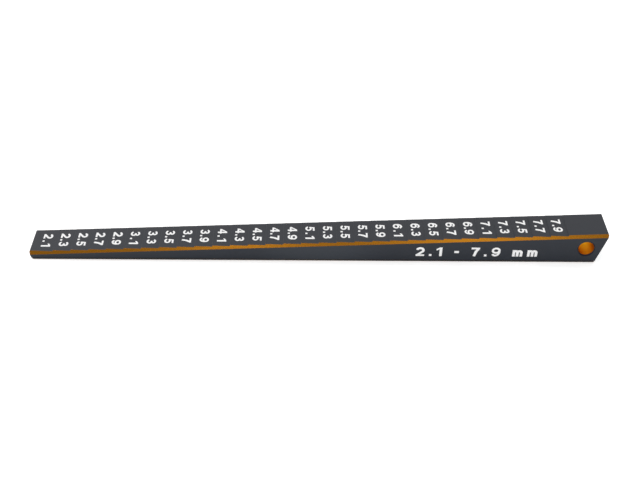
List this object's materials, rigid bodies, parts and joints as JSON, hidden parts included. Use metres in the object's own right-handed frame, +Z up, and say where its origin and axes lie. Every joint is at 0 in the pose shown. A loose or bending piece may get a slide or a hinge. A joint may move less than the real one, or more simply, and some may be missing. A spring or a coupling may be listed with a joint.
{
  "type": "ride height gauge",
  "caption": "Stepped wedge bar whose level treads rise from a thin end to a thick end with a hanging hole; slid under a chassis to read its ride height.",
  "frame": {"origin": "middle of the underside, halfway between the thin end and the thick end and between the two sides", "axes": "+X from the thin end to the thick end, +Y from the front side to the back side, +Z up from the underside to the treads"},
  "size_m": [0.1466, 0.01, 0.0085],
  "materials": {
    "black_anodised": "satin, bead blasted and anodised black",
    "gold_anodised": "satin, machined and anodised gold, on the chamfers and the bore",
    "white_marking": "matte white numerals on the treads"
  },
  "bodies": {
    "root": {"gauge_bar": "black_anodised"}
  },
  "joints": []
}
